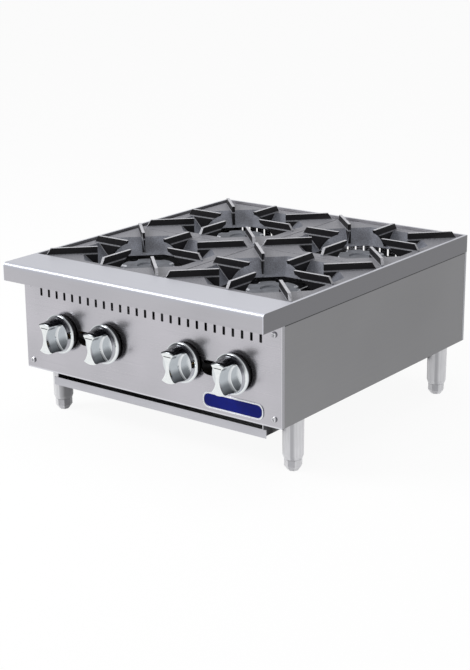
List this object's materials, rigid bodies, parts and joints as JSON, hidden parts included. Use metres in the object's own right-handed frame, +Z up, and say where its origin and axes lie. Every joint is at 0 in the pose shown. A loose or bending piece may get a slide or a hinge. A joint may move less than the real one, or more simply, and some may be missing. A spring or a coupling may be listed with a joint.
{
  "type": "gas cooktop",
  "caption": "Countertop gas hotplate in stainless steel, with cast grates over open burners, front knobs, a slide-out crumb tray and levelling legs.",
  "frame": {"origin": "on the floor, under the middle of the whole cooktop with its gas inlet", "axes": "+X to the right as seen from the knobs, +Y to the back, +Z up"},
  "size_m": [0.61, 0.738, 0.332],
  "materials": {
    "top_sheet": "satin stainless steel",
    "body_sheet": "fine brushed stainless steel",
    "tray_sheet": "satin stainless steel",
    "zinc_steel": "galvanised steel",
    "pipe_paint": "black paint, semi-gloss",
    "brass": "machined brass",
    "tubing": "bare aluminium",
    "screw_steel": "bright steel",
    "stem_steel": "turned steel",
    "badge_face": "blue enamel, gloss",
    "knob_black": "black phenolic",
    "knob_metal": "satin chrome",
    "burner_iron": "rough cast",
    "head_iron": "rough cast grey",
    "shutter_steel": "galvanised steel",
    "grate_iron": "heat-resistant grey-black",
    "leg_steel": "satin, zinc-plated"
  },
  "bodies": {
    "frame": {"top_frame": "top_sheet", "front_panel": "body_sheet", "back_panel": "body_sheet", "side_panel_left": "body_sheet", "side_panel_right": "body_sheet", "base_frame": "zinc_steel", "tray_runners": "zinc_steel", "grate_cross": "zinc_steel", "manifold": "pipe_paint", "supply_pipe": "pipe_paint", "orifice_hoods": "brass", "pilot_valves": "brass", "pilot_tubes": "tubing", "burner_rail_front": "zinc_steel", "burner_rail_rear": "zinc_steel", "leg_nuts": "zinc_steel", "panel_screws": "screw_steel", "badge_plate": "badge_face", "valve_1": "brass", "valve_2": "brass", "valve_3": "brass", "valve_4": "brass", "burner_front_left": "burner_iron", "burner_front_right": "burner_iron", "burner_back_left": "burner_iron", "burner_back_right": "burner_iron", "leg_front_left": "leg_steel", "leg_front_right": "leg_steel", "leg_back_left": "leg_steel", "leg_back_right": "leg_steel"},
    "crumb_tray": {"crumb_tray": "tray_sheet"},
    "knob_1": {"knob_cap_1": "knob_metal", "knob_core_1": "knob_black", "valve_stem_1": "stem_steel"},
    "knob_2": {"knob_cap_2": "knob_metal", "knob_core_2": "knob_black", "valve_stem_2": "stem_steel"},
    "knob_3": {"knob_cap_3": "knob_metal", "knob_core_3": "knob_black", "valve_stem_3": "stem_steel"},
    "knob_4": {"knob_cap_4": "knob_metal", "knob_core_4": "knob_black", "valve_stem_4": "stem_steel"},
    "grate_front_left": {"grate_front_left": "grate_iron"},
    "burner_head_front_left": {"burner_head_front_left": "head_iron"},
    "air_shutter_front_left": {"air_shutter_front_left": "shutter_steel"},
    "foot_front_left": {"foot_front_left": "leg_steel"},
    "grate_front_right": {"grate_front_right": "grate_iron"},
    "burner_head_front_right": {"burner_head_front_right": "head_iron"},
    "air_shutter_front_right": {"air_shutter_front_right": "shutter_steel"},
    "foot_front_right": {"foot_front_right": "leg_steel"},
    "grate_back_left": {"grate_back_left": "grate_iron"},
    "burner_head_back_left": {"burner_head_back_left": "head_iron"},
    "air_shutter_back_left": {"air_shutter_back_left": "shutter_steel"},
    "foot_back_left": {"foot_back_left": "leg_steel"},
    "grate_back_right": {"grate_back_right": "grate_iron"},
    "burner_head_back_right": {"burner_head_back_right": "head_iron"},
    "air_shutter_back_right": {"air_shutter_back_right": "shutter_steel"},
    "foot_back_right": {"foot_back_right": "leg_steel"}
  },
  "joints": [
    {"name": "crumb_tray_slide", "type": "slide", "parent": "frame", "child": "crumb_tray", "axis": [0, -1, 0], "range_m": [0, 0.45]},
    {"name": "knob_1_turn", "type": "hinge", "parent": "frame", "child": "knob_1", "pos_m": [-0.20525, -0.315, 0.188], "axis": [0, -1, 0], "range_deg": [0, 90]},
    {"name": "knob_2_turn", "type": "hinge", "parent": "frame", "child": "knob_2", "pos_m": [-0.09325, -0.315, 0.188], "axis": [0, -1, 0], "range_deg": [0, 90]},
    {"name": "knob_3_turn", "type": "hinge", "parent": "frame", "child": "knob_3", "pos_m": [0.09325, -0.315, 0.188], "axis": [0, -1, 0], "range_deg": [0, 90]},
    {"name": "knob_4_turn", "type": "hinge", "parent": "frame", "child": "knob_4", "pos_m": [0.20525, -0.315, 0.188], "axis": [0, -1, 0], "range_deg": [0, 90]},
    {"name": "grate_front_left_lift", "type": "slide", "parent": "frame", "child": "grate_front_left", "axis": [0, 0, 1], "range_m": [0, 0.06]},
    {"name": "burner_head_front_left_lift", "type": "slide", "parent": "frame", "child": "burner_head_front_left", "axis": [0, 0, 1], "range_m": [0, 0.02]},
    {"name": "air_shutter_front_left_turn", "type": "hinge", "parent": "frame", "child": "air_shutter_front_left", "pos_m": [-0.20525, -0.249, 0.188], "axis": [0, -1, 0], "range_deg": [0, 60]},
    {"name": "foot_front_left_level", "type": "slide", "parent": "frame", "child": "foot_front_left", "axis": [0, 0, -1], "range_m": [0, 0.02]},
    {"name": "grate_front_right_lift", "type": "slide", "parent": "frame", "child": "grate_front_right", "axis": [0, 0, 1], "range_m": [0, 0.06]},
    {"name": "burner_head_front_right_lift", "type": "slide", "parent": "frame", "child": "burner_head_front_right", "axis": [0, 0, 1], "range_m": [0, 0.02]},
    {"name": "air_shutter_front_right_turn", "type": "hinge", "parent": "frame", "child": "air_shutter_front_right", "pos_m": [0.20525, -0.249, 0.188], "axis": [0, -1, 0], "range_deg": [0, 60]},
    {"name": "foot_front_right_level", "type": "slide", "parent": "frame", "child": "foot_front_right", "axis": [0, 0, -1], "range_m": [0, 0.02]},
    {"name": "grate_back_left_lift", "type": "slide", "parent": "frame", "child": "grate_back_left", "axis": [0, 0, 1], "range_m": [0, 0.06]},
    {"name": "burner_head_back_left_lift", "type": "slide", "parent": "frame", "child": "burner_head_back_left", "axis": [0, 0, 1], "range_m": [0, 0.02]},
    {"name": "air_shutter_back_left_turn", "type": "hinge", "parent": "frame", "child": "air_shutter_back_left", "pos_m": [-0.09325, -0.249, 0.188], "axis": [0, -1, 0], "range_deg": [0, 60]},
    {"name": "foot_back_left_level", "type": "slide", "parent": "frame", "child": "foot_back_left", "axis": [0, 0, -1], "range_m": [0, 0.02]},
    {"name": "grate_back_right_lift", "type": "slide", "parent": "frame", "child": "grate_back_right", "axis": [0, 0, 1], "range_m": [0, 0.06]},
    {"name": "burner_head_back_right_lift", "type": "slide", "parent": "frame", "child": "burner_head_back_right", "axis": [0, 0, 1], "range_m": [0, 0.02]},
    {"name": "air_shutter_back_right_turn", "type": "hinge", "parent": "frame", "child": "air_shutter_back_right", "pos_m": [0.09325, -0.249, 0.188], "axis": [0, -1, 0], "range_deg": [0, 60]},
    {"name": "foot_back_right_level", "type": "slide", "parent": "frame", "child": "foot_back_right", "axis": [0, 0, -1], "range_m": [0, 0.02]}
  ]
}
